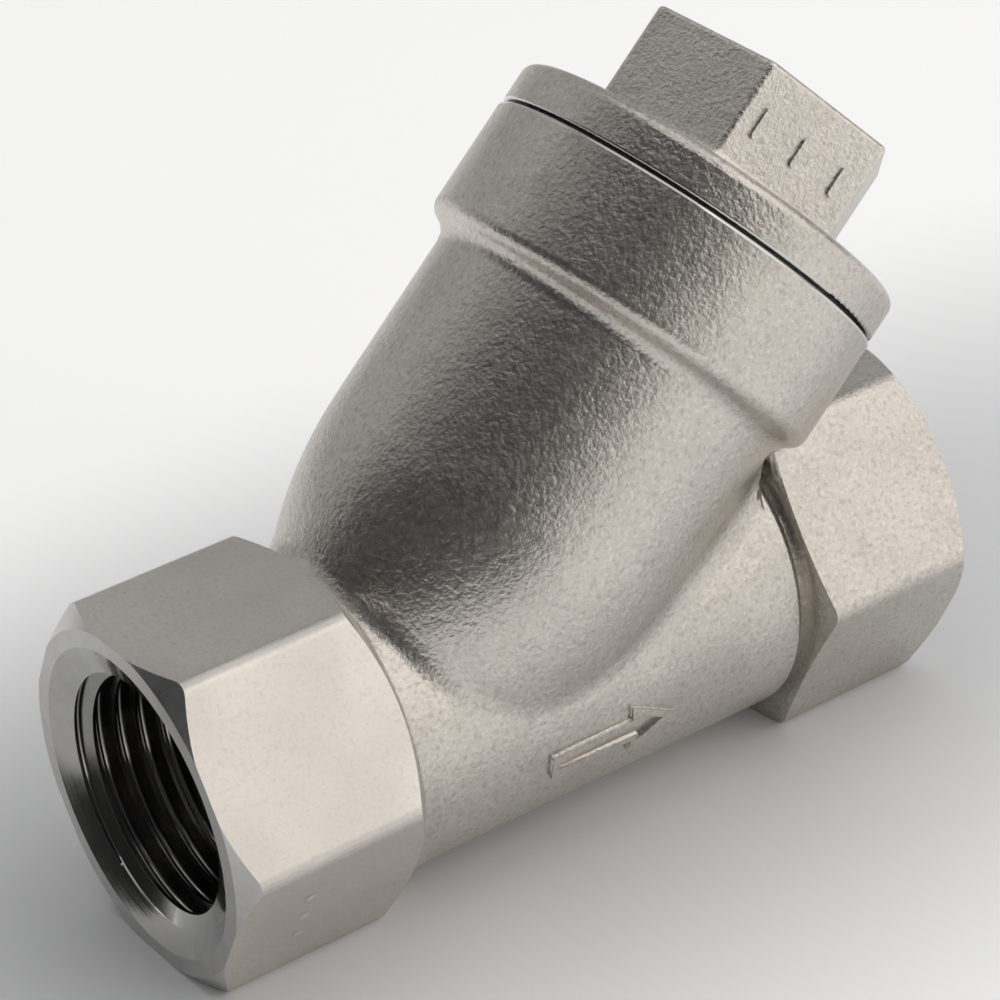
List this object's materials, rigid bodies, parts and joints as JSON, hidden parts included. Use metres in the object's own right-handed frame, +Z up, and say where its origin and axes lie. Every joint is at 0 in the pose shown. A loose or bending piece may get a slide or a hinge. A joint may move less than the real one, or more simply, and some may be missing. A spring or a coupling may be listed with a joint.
{
  "type": "y-pattern spring check valve",
  "caption": "Stainless Y-pattern spring check valve: hexagonal female-threaded ends, leaning branch with a screwed hexagon-head cap, spring-loaded disc inside.",
  "frame": {"origin": "below the middle of the bounding box, on the plane of the lower flats of the two hexagonal ends", "axes": "+X is the direction of flow, from the inlet to the outlet; +Z is up; the branch leans from the run towards +X in the XZ plane"},
  "size_m": [0.0692, 0.0334, 0.0583],
  "materials": {
    "cast_stainless": "bead-blasted investment casting, ground hexagons",
    "turned_stainless": "fine turned",
    "spring_wire": "drawn wire",
    "ptfe": "white PTFE"
  },
  "bodies": {
    "valve": {"valve_body": "cast_stainless", "bonnet_cap": "cast_stainless", "bonnet_gasket": "ptfe", "return_spring": "spring_wire"},
    "disc": {"disc": "turned_stainless", "disc_seal": "ptfe", "seal_retainer": "turned_stainless", "retainer_nut": "turned_stainless"}
  },
  "joints": [
    {"name": "disc_lift", "type": "slide", "parent": "valve", "child": "disc", "axis": [0.7455, 0, 0.6665], "range_m": [0, 0.0054], "stiffness_N_per_m": 1100, "springref_m": -0.001, "deforming": ["return_spring"]}
  ]
}
